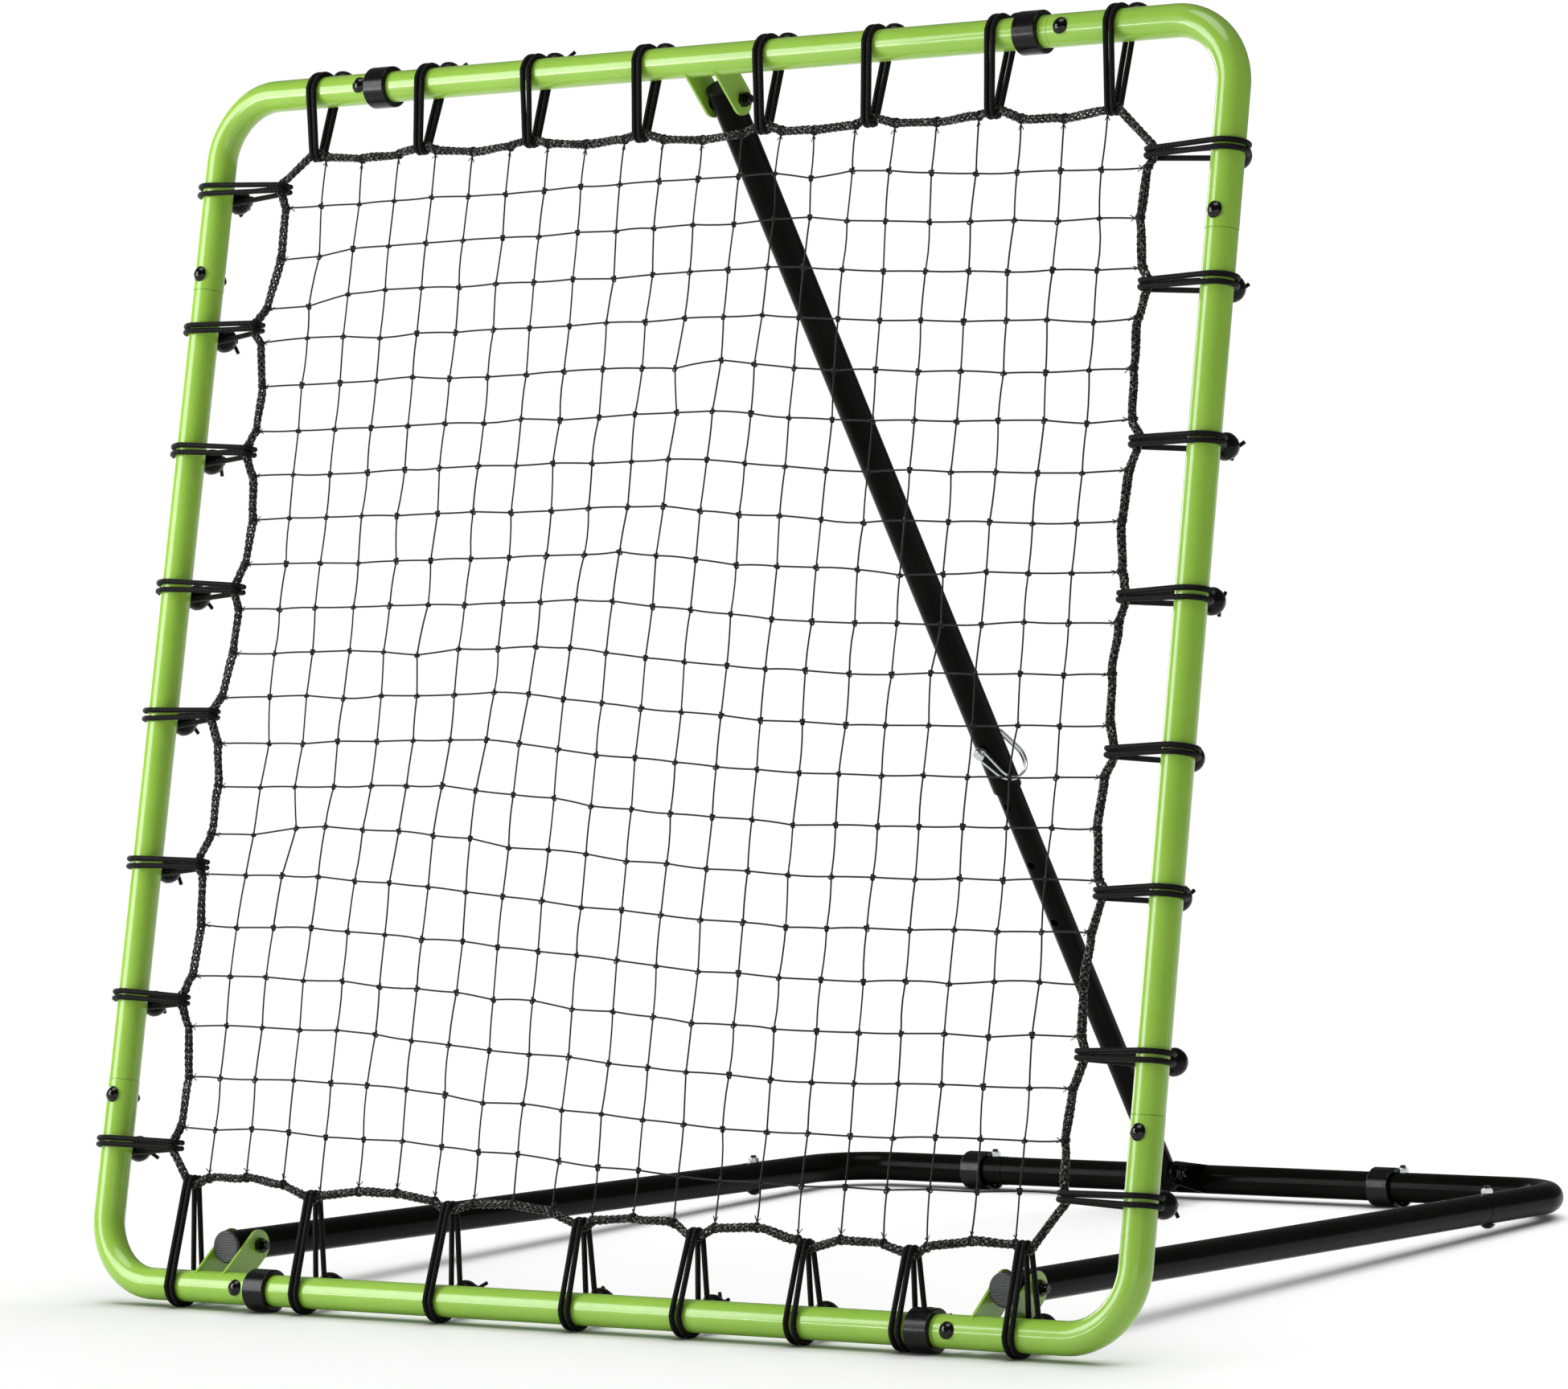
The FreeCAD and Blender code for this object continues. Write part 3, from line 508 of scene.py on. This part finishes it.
MATERIALS = {
    "green_powder_coat": powder_coat(
        "look_green_powder_coat", (0.23, 0.43, 0.042), (0.25, 0.456, 0.049), (0.268, 0.478, 0.056),
        roughness=0.28, coat=0.45, specular=0.35),
    "black_powder_coat": powder_coat(
        "look_black_powder_coat", (0.0016, 0.0016, 0.0014), (0.0026, 0.0026, 0.0024), (0.004, 0.004, 0.0037),
        roughness=0.2, coat=0.0, specular=0.045),
    "black_plastic": moulded_plastic(
        "look_black_plastic", grey(0.0015), grey(0.0035), roughness=0.23, specular=0.22),
    "grey_plastic": ribbed_plastic(
        "look_grey_plastic", (0.009, 0.0095, 0.0105), (0.017, 0.0175, 0.019),
        roughness=0.42, specular=0.5, period=1.6 * MM),
    "black_fasteners": metal("look_black_fasteners", grey(0.002), grey(0.006), roughness=0.1, coat=0.6),
    "zinc_plated_steel": metal(
        "look_zinc_plated_steel", (0.52, 0.53, 0.54), (0.74, 0.75, 0.76), roughness=0.24),
    # The border rope's pale specks are painted glints.
    "border_rope": twisted(
        "look_border_rope", grey(0.0015), grey(0.007), roughness=0.38, period=1.1 * MM,
        fleck=(0.22, 0.22, 0.215)),
    "net_string": twisted("look_net_string", grey(0.002), grey(0.009), roughness=0.55, period=1.6 * MM),
    "elastic_cord": braided(
        "look_elastic_cord", grey(0.001), grey(0.005), pitch=4.2 * MM, starts=4, roughness=0.5),
    "ball_plastic": moulded_plastic(
        "look_ball_plastic", grey(0.002), grey(0.004), roughness=0.24, specular=0.14),
}

for obj in frame["nodes"].values():
    for material_slot in obj.material_slots:
        name = material_slot.material.name.split(".")[0]
        material_slot.material = MATERIALS[name]

# ---------------------------------------------------------------- how the net hangs

# Knots that have slipped along their strings, and by how many millimetres
SLIPPED = {
    (0, 18): (-4, -11), (0, 19): (4, -7), (13, 20): (-5, -8), (10, 16): (-7, -2), (11, 16): (2, 3),
    (4, 10): (-8, -4), (3, 10): (-3, -2), (0, 8): (4, -1), (1, 6): (5, 3), (2, 6): (-2, 2), (0, 6): (-3, -4),
}


def drift(column, row):
    """How far a knot is pulled off the square pattern.

    The net hangs as two slack fields, worked out here in millimetres. The upper one is pulled up, and more
    so further down. The lower one is pulled up at its left and sags at its right. A knot follows the field
    that lifts it less, and the two meet at a soft fold.
    """
    u, w = column / (COLUMNS - 1), row / (ROWS - 1)  # 0 to 1 from left to right and from bottom to top
    upper = 3 + 17 * max(0, (1 - w) / 0.6) ** 1.4
    lower = 5 + 21 * math.cos(math.pi * min(1.22 * u, 1)) + 62 * (1 - u) * (w - 0.25)
    in_upper = 1 / (1 + math.exp((upper - lower) / 2.5))
    lower_across = -8.5 + 12 * u - 18 * max(0, w - 0.75)
    fold = 2.5 * math.exp(-((upper - lower) / 5) ** 2) * (1 - w)
    across = 6 * in_upper + lower_across * (1 - in_upper)
    rise = upper * in_upper + lower * (1 - in_upper) + fold
    slip = SLIPPED.get((column, row), (0, 0))
    return np.array([across + slip[0], 0.0, rise + slip[1]]) * MM


columns = [NET_MIDDLE_X + PITCH * (k - (COLUMNS - 1) / 2) for k in range(COLUMNS)]
rows = [NET_MIDDLE_Z + PITCH * (k - (ROWS - 1) / 2) for k in range(ROWS)]
# Where the strings' ends come along each bar
STRING_ENDS = {
    "bottom": [columns[k] + drift(k, 0)[0] for k in range(COLUMNS)],
    "top": [columns[k] + drift(k, ROWS - 1)[0] for k in range(COLUMNS)],
    "left": [rows[k] + drift(0, k)[2] for k in range(ROWS)],
    "right": [rows[k] + drift(COLUMNS - 1, k)[2] for k in range(ROWS)],
}

# ---------------------------------------------------------------- border rope


def rope_side(side, strings):
    """The rope from a side's first bungee to its last: (place along, distance from the bar, string)."""
    anchors = [(place, drop) for place, drop, _ in BUNGEES[side]]
    line = []
    for (a, drop_a), (b, drop_b) in zip(anchors, anchors[1:]):
        line.append((a, drop_a, None))
        most = ROPE_SAG[side] * draw.uniform(0.85, 1.15)
        for k, s in enumerate(strings):
            if a < s <= b:
                t = (s - a) / (b - a)
                sag = most * (4 * t * (1 - t)) ** SAG_POWER * draw.uniform(0.92, 1.08)
                line.append((s, drop_a + (drop_b - drop_a) * t + sag, k))
    line.append((*anchors[-1], None))
    return line


def rope_route():
    """The rope's corners once round the net, and each string's point on it by side and number."""
    route, ties = [], {side: {} for side in SIDES}
    for side, backwards in (("bottom", False), ("right", False), ("top", True), ("left", True)):
        axis, along, bar, inward = SIDES[side]
        run = []
        for place, drop, string in rope_side(side, STRING_ENDS[side]):
            point = bar + inward * drop
            point = point + along * (place - point[axis])
            if string is None:
                run += [point - along * LOOP_HALF_WIDTH, point + along * LOOP_HALF_WIDTH]
            else:
                ties[side][string] = point
                run.append(point)
        route += run[::-1] if backwards else run
    return route + [route[0]], ties


def border_rope(route):
    """A slightly uneven rope of crossing strands, taut between its corners."""
    taut = []
    for a, b in zip(route, route[1:]):
        gap = b - a
        wander = scatter(0.4, 0.5, 0.4)
        taut.append(a)
        if np.linalg.norm(gap) > LONG_GAP:
            taut += [a + gap * TAUT_SHARE + wander, a + gap * (1 - TAUT_SHARE) - wander]
    taut.append(route[0])
    rope, at = even(smooth(taut, 2 * MM), ROPE_STEP)
    tangent = np.gradient(rope, axis=0)
    tangent[0] = tangent[-1] = tangent[1]
    tangent = unit_rows(tangent)
    across = np.cross(tangent, Y)
    depth = np.cross(across, tangent)
    # Two slow waves and a quick one make the rope a little thicker and thinner
    girth = (1 + 0.09 * np.sin(at / (31 * MM)) * np.sin(at / (17.3 * MM) + 1)
             + 0.05 * np.sin(at / (7.1 * MM)))
    lay = at[-1] / round(at[-1] / ROPE_LAY)
    build = Build()
    for way in (1, -1):
        for k in range(STRANDS):
            turn = 2 * np.pi * (way * at / lay + k / STRANDS)
            weave = way * STRAND_WEAVE * np.cos(2 * STRANDS * np.pi * at / lay)
            out = across * np.cos(turn)[:, None] + depth * np.sin(turn)[:, None]
            centre = rope + out * ((STRAND_RING_R + weave) * girth)[:, None]
            heading = unit_rows(np.gradient(centre, axis=0))
            rings = skin(centre, np.cross(out, heading), out, STRAND_HALF_WIDE, STRAND_HALF_THICK,
                         FINE_SIDES, np.pi / FINE_SIDES)
            build.grid(world(rings), along=at)
    build.finish("border_rope", MATERIALS["border_rope"], "net_frame", "border_rope", ["net_border_rope"])


route, ties = rope_route()
border_rope(route)

# ---------------------------------------------------------------- net


def knot_places():
    places = np.zeros((COLUMNS, ROWS, 3))
    for i in range(COLUMNS):
        for j in range(ROWS):
            places[i, j] = np.array([columns[i], 0, rows[j]]) + drift(i, j) + scatter(0.9, 0.7, 0.9)
    return places


def string_line(start, end):
    """A nearly straight length of string between two knots."""
    bow = scatter(0.35, 0.6, 0.35)
    t = np.array([0, 0.03, 0.35, 0.65, 0.97, 1])[:, None]
    return start + (end - start) * t + bow * (4 * t * (1 - t))


def tie(build, point, along, inward):
    """A string's end: two turns round the rope and a short tuft."""
    a = np.linspace(0, 2 * np.pi, 15)[:, None]
    ring = TIE_RING_R * (inward * np.cos(a) + Y * np.sin(a))
    for offset in (-TIE_SPACING, TIE_SPACING):
        turn = point + along * offset + ring + along * (TIE_SPACING * np.sin(a / 2))
        tube(build, world(turn), TIE_R, TIE_SIDES, capped=False)
    for sign in (-1, 1):
        far = inward * (ROPE_R + draw.uniform(4, 7) * MM) + along * sign * draw.uniform(1.5, 3.5) * MM
        far = far + Y * draw.uniform(-2, 2) * MM
        near = inward * (ROPE_R + 1.6 * MM) + along * sign * 0.4 * MM
        tuft = smooth([point + inward * ROPE_R, point + near, point + far], 1.5 * MM)
        tube(build, world(tuft), TUFT_R, FINE_SIDES)


def net_strings(knots, ties):
    """The strings from knot to knot and on to the rope, and their ties round it."""
    strings, wraps = Build(), Build()
    for i in range(COLUMNS):
        for j in range(ROWS):
            if i + 1 < COLUMNS:
                line = string_line(knots[i, j], knots[i + 1, j])
                tube(strings, world(line), STRING_R, STRING_SIDES, capped=False)
            if j + 1 < ROWS:
                line = string_line(knots[i, j], knots[i, j + 1])
                tube(strings, world(line), STRING_R, STRING_SIDES, capped=False)
    outermost = {"bottom": knots[:, 0], "top": knots[:, -1], "left": knots[0], "right": knots[-1]}
    for side, last_knots in outermost.items():
        _, along, _, inward = SIDES[side]
        for k, point in sorted(ties[side].items()):
            line = string_line(last_knots[k], point + inward * ROPE_R)
            tube(strings, world(line), STRING_R, STRING_SIDES, capped=False)
            tie(wraps, point, along, inward)
    strings.finish("net_strings", MATERIALS["net_string"], "net_frame", "net_string", ["net"])
    wraps.finish("net_ties", MATERIALS["net_string"], "net_frame", "net_string")


def net_knots(knots):
    """A small overhand knot at each crossing, each turned its own way."""
    wide, tall, deep = trefoil(24, 0.9)
    curve = np.stack([wide, deep, tall], 1)
    build = Build()
    for knot in knots.reshape(-1, 3):
        a = draw.uniform(0, 2 * math.pi)
        turn = np.array([[math.cos(a), 0, math.sin(a)], [0, 1, 0], [-math.sin(a), 0, math.cos(a)]])
        size = NET_KNOT * draw.uniform(0.9, 1.15)
        tube(build, world(knot + (curve @ turn) * size), STRING_R, FINE_SIDES, capped=False)
    build.finish("net_knots", MATERIALS["net_string"], "net_frame", "net_string")


knots = knot_places()
net_strings(knots, ties)
net_knots(knots)

# ---------------------------------------------------------------- bungees

# Points of a cord near its ball: millimetres off the bar, degrees past the ball, the share of the ball's
# own shift along the bar, and millimetres to the side
LEAVING_BALL = ((3.4, 1, 1.0, 1.4), (0.3, 13, 0.9, 2.2))
ROUND_NECK = ((0.9, -12, 0.95, 5.4), (2.2, 1, 1.0, 5.9), (3.6, 12, 1.0, 4.4))
CROWN_LIFT, CROWN_DEGREES = 4.2 * MM, 18
WRAP_DEGREES = 28
NECK_DEGREES = 14
RETURN_STEP = 16
# How far each strand stands to its side: in the ball's hole, round the rope, on the way back from the
# rope, where it comes back to the bar, and how much that last one grows up to the neck
HOLE_GAP, ROPE_GAP, LEAVING_GAP, RETURN_GAP, RETURN_WIDENS = (g * MM for g in (1.1, 2.9, 3.1, 3.4, 1.6))


def bungee_line(side, place, drop, ball, slant):
    """One cord: from the ball's hole over the bar, round the rope, round the ball's neck, and back."""
    spread = draw.uniform(2.9, 4.2) * MM
    axis, along, bar, inward = SIDES[side]
    tube_at = bar + along * place
    rope_at = tube_at + inward * drop
    offset = ball - bar
    ball_shift = ball[axis] - place
    ball_angle = math.degrees(math.atan2(offset @ Y, offset @ inward))
    ball_out = math.hypot(offset @ Y, offset @ inward)
    from_end = HALF - abs(place) if axis == 0 else min(place, SPAN - place)
    big = (CORNER_TUBE_R if from_end < CORNER_REACH else TUBE_R) + CORD_R + CLEARANCE
    small = ROPE_R + CORD_R + CLEARANCE
    touch = math.degrees(math.acos((big - small) / drop))
    wrap = ball_angle + WRAP_DEGREES
    neck = ball_angle - NECK_DEGREES

    def on(centre, radius, degrees, s):
        """A point round a centre line: 0 degrees is towards the net and 90 is backwards."""
        a = math.radians(degrees)
        return centre + (inward * math.cos(a) + Y * math.sin(a)) * radius + along * s

    def near_ball(points, g):
        return [on(tube_at, big + lift * MM, ball_angle + past, ball_shift * share + g * gap * MM)
                for lift, past, share, gap in points]

    def between(degrees, tube_s, rope_s):
        """Midway along the straight stretch from the bar to the rope."""
        return (on(tube_at, big, degrees, tube_s) + on(rope_at, small, degrees, rope_s)) / 2

    def half(g):
        """From the ball to its neck; g is -1 for one of the two strands and 1 for the other."""
        rope_s = g * ROPE_GAP + slant[1]
        line = [on(tube_at, ball_out, ball_angle, ball_shift + g * HOLE_GAP)]
        line += near_ball(LEAVING_BALL, g)
        for f in np.linspace(0, 1, 9):
            s = ball_shift * 0.6 * max(0, 1 - 3 * f) + g * spread + slant[0] * f
            line.append(on(tube_at, big, wrap + (360 - touch - wrap) * f, s))
        line.append(between(-touch, g * spread + slant[0], rope_s))
        line += [on(rope_at, small, touch * f, rope_s) for f in (-1, -0.5, 0, 0.5, 1)]
        if neck > touch + 2:
            line.append(between(touch, g * RETURN_GAP, g * LEAVING_GAP + slant[1]))
            for k in range(1 + int((neck - touch) / RETURN_STEP)):
                f = k * RETURN_STEP / (neck - touch)
                s = ball_shift * f * 0.8 + g * (RETURN_GAP + RETURN_WIDENS * f)
                line.append(on(tube_at, big, touch + k * RETURN_STEP, s))
        return line + near_ball(ROUND_NECK, g)

    crown = on(tube_at, big + CROWN_LIFT, ball_angle + CROWN_DEGREES, ball_shift)
    return half(-1) + [crown] + half(1)[::-1]


def ball_mesh(build, centre, out):
    """A moulded ball on the axis out, with a seam round its middle and a countersunk hole."""
    helper = unit(np.cross(out, [0.2, 0.1, 0.9]))
    other = np.cross(out, helper)
    first = math.asin(RIM_R / BALL_R)
    mouth = [(HOLE_R, -0.6 * BALL_R), (HOLE_R, -0.86 * BALL_R), (RIM_R - RIM_CHAMFER, -0.915 * BALL_R)]
    profile = list(mouth)
    for a in np.linspace(-math.pi / 2 + first, math.pi / 2 - first, BALL_RINGS):
        radius = BALL_R + (SEAM_RIDGE if abs(a) < 0.03 else 0)
        profile.append((radius * math.cos(a), radius * math.sin(a)))
    profile += [(r, -h) for r, h in mouth[:0:-1]] + [mouth[0]]
    a = np.linspace(0, 2 * np.pi, BALL_SIDES, endpoint=False)
    ring = helper * np.cos(a)[:, None] + other * np.sin(a)[:, None]
    build.grid(np.array([centre + ring * r + out * h for r, h in profile]))


def knot_and_tails(build, at, out, along):
    """An overhand knot in the two ends behind the ball, with its short cut tails."""
    side = np.cross(out, along)
    a, b, c = trefoil(48, 1.1)
    loop = (along * a[:, None] + side * b[:, None] + out * c[:, None]) * KNOT_SIZE
    tube(build, world(at + loop), KNOT_CORD_R, TAIL_SIDES, capped=False)
    for sign in (-1, 1):
        tail = along * sign * draw.uniform(4, 8) + out * draw.uniform(0, 6) + side * draw.uniform(-6, 6)
        line = smooth([at, at + tail * 0.7 * MM, at + tail * 1.5 * MM], 2 * MM)
        tube(build, world(line), TAIL_R, TAIL_SIDES)


def bungees(side):
    """A side's elastic loops, balls and knots, each kind as one piece."""
    axis, along, bar, _ = SIDES[side]
    cords, balls, tied = Build(), Build(), Build()
    for place, drop, ball in BUNGEES[side]:
        slant = (draw.uniform(-1.6, 1.6) * MM, draw.uniform(-1.6, 1.6) * MM)
        line = smooth(bungee_line(side, place, drop, ball, slant), 3 * MM)
        tube(cords, world(line), CORD_R, CORD_SIDES)
        out = unit(ball - bar - along * ball[axis])
        ball_mesh(balls, world(ball), out @ AXES)
        knot_and_tails(tied, ball + out * (BALL_R + KNOT_STANDS_OFF), out, along)
    cords.finish(f"elastic_cords_{side}", MATERIALS["elastic_cord"], "net_frame", "elastic_cord",
                 ["bungee_cords_" + side])
    balls.finish(f"cord_balls_{side}", MATERIALS["ball_plastic"], "net_frame", "ball_plastic",
                 ["bungee_balls_" + side])
    tied.finish(f"cord_knots_{side}", MATERIALS["elastic_cord"], "net_frame", "elastic_cord",
                ["bungee_knots_" + side])


for side in SIDES:
    bungees(side)

# ---------------------------------------------------------------- camera, light and floor

CAMERA_PLACE = (3.4565, -5.0143, 0.7737)
CAMERA_YAW, CAMERA_PITCH, CAMERA_ROLL = (math.radians(d) for d in (35.567, 2.034, -2.108))
CAMERA_LENS, CAMERA_SENSOR = 143.6, 36
FLOOR_REACH = 60
SKY_SEEN, SKY_LIGHT = 1.02, 0.16

# Name, place, the point that it faces, width, height and watts
AREA_LIGHTS = (
    ("key", (-2.2, -2.5, 1.6), (0, -0.2, 0.6), 1.6, 2.0, 78),
    ("left", (-5.0, 1.5, 1.6), (0, 0, 0.6), 2.4, 3.0, 100),
    ("low", (-2.7, -4.6, 0.6), (0, 0, 0.6), 2.8, 0.26, 50),
    ("fill", (3.2, -4.8, 0.7), (0, 0, 0.5), 2.5, 1.2, 16),
)
# Name, width in the sky in degrees, energy, tilt in degrees, and whether it lights the floor alone
SUNS = (
    ("overhead", 40, 1.4, (14, 0, 0), False),
    ("floor_wash", 64, 2.75, (-16, 4, 0), True),
    ("floor_back", 130, 0.75, (-35, 0, 0), True),
)


def camera():
    yaw, pitch, roll = CAMERA_YAW, CAMERA_PITCH, CAMERA_ROLL
    forward = Vector((-math.sin(yaw) * math.cos(pitch), math.cos(yaw) * math.cos(pitch), -math.sin(pitch)))
    right = Vector((math.cos(yaw), math.sin(yaw), 0))
    up = right.cross(forward)
    rolled_right = right * math.cos(roll) + up * math.sin(roll)
    rolled_up = up * math.cos(roll) - right * math.sin(roll)
    data = bpy.data.cameras.new("camera")
    data.sensor_width = CAMERA_SENSOR
    data.lens = CAMERA_LENS
    data.clip_start, data.clip_end = 0.1, 200
    obj = bpy.data.objects.new("camera", data)
    bpy.context.scene.collection.objects.link(obj)
    rotation = Matrix((rolled_right, rolled_up, -forward)).transposed()
    obj.matrix_world = Matrix.Translation(CAMERA_PLACE) @ rotation.to_4x4()
    bpy.context.scene.camera = obj


def floor():
    mesh = bpy.data.meshes.new("floor")
    r = FLOOR_REACH
    mesh.from_pydata([(-r, -r, 0), (r, -r, 0), (r, r, 0), (-r, r, 0)], [], [(0, 1, 2, 3)])
    obj = bpy.data.objects.new("floor", mesh)
    bpy.context.scene.collection.objects.link(obj)
    m = new_material("pale_floor", 0.6, specular=0.2)
    connect(m, ramp(m, noise(m, 3, 4), [(0.3, grey(0.915)), (0.7, grey(0.925))]), "Base Color")
    mesh.materials.append(m)
    return obj


def sky():
    """White behind the object, and a dimmer, even light on it."""
    surroundings = bpy.data.worlds.new("sky")
    surroundings.use_nodes = True
    nodes, links = surroundings.node_tree.nodes, surroundings.node_tree.links
    seen = nodes.new("ShaderNodeLightPath")
    strength = nodes.new("ShaderNodeMapRange")
    strength.inputs["To Min"].default_value = SKY_LIGHT
    strength.inputs["To Max"].default_value = SKY_SEEN
    links.new(seen.outputs["Is Camera Ray"], strength.inputs["Value"])
    links.new(strength.outputs["Result"], nodes["Background"].inputs["Strength"])
    nodes["Background"].inputs["Color"].default_value = (1, 1, 1, 1)
    bpy.context.scene.world = surroundings


def link_light(obj, pale_floor, floor_only):
    """Puts a light in the scene. It lights the floor alone, or all but the floor, which still gets shade."""
    bpy.context.scene.collection.objects.link(obj)
    group = bpy.data.collections.new(("lit_by_" if floor_only else "not_lit_by_") + obj.name)
    group.objects.link(pale_floor)
    obj.light_linking.receiver_collection = group
    if not floor_only:
        group.collection_objects[0].light_linking.link_state = "EXCLUDE"


def sun(name, width, energy, tilt):
    data = bpy.data.lights.new(name, "SUN")
    data.angle, data.energy = math.radians(width), energy
    obj = bpy.data.objects.new(name, data)
    obj.rotation_euler = [math.radians(t) for t in tilt]
    return obj


def area_light(name, place, target, width, height, watts):
    data = bpy.data.lights.new(name, "AREA")
    data.shape = "RECTANGLE"
    data.size, data.size_y, data.energy = width, height, watts
    obj = bpy.data.objects.new(name, data)
    obj.location = place
    obj.rotation_euler = (Vector(target) - Vector(place)).to_track_quat("-Z", "Y").to_euler()
    return obj


camera()
pale_floor = floor()
sky()
bpy.context.scene.view_settings.view_transform = "Standard"
for *values, floor_only in SUNS:
    link_light(sun(*values), pale_floor, floor_only)
for values in AREA_LIGHTS:
    link_light(area_light(*values), pale_floor, floor_only=False)
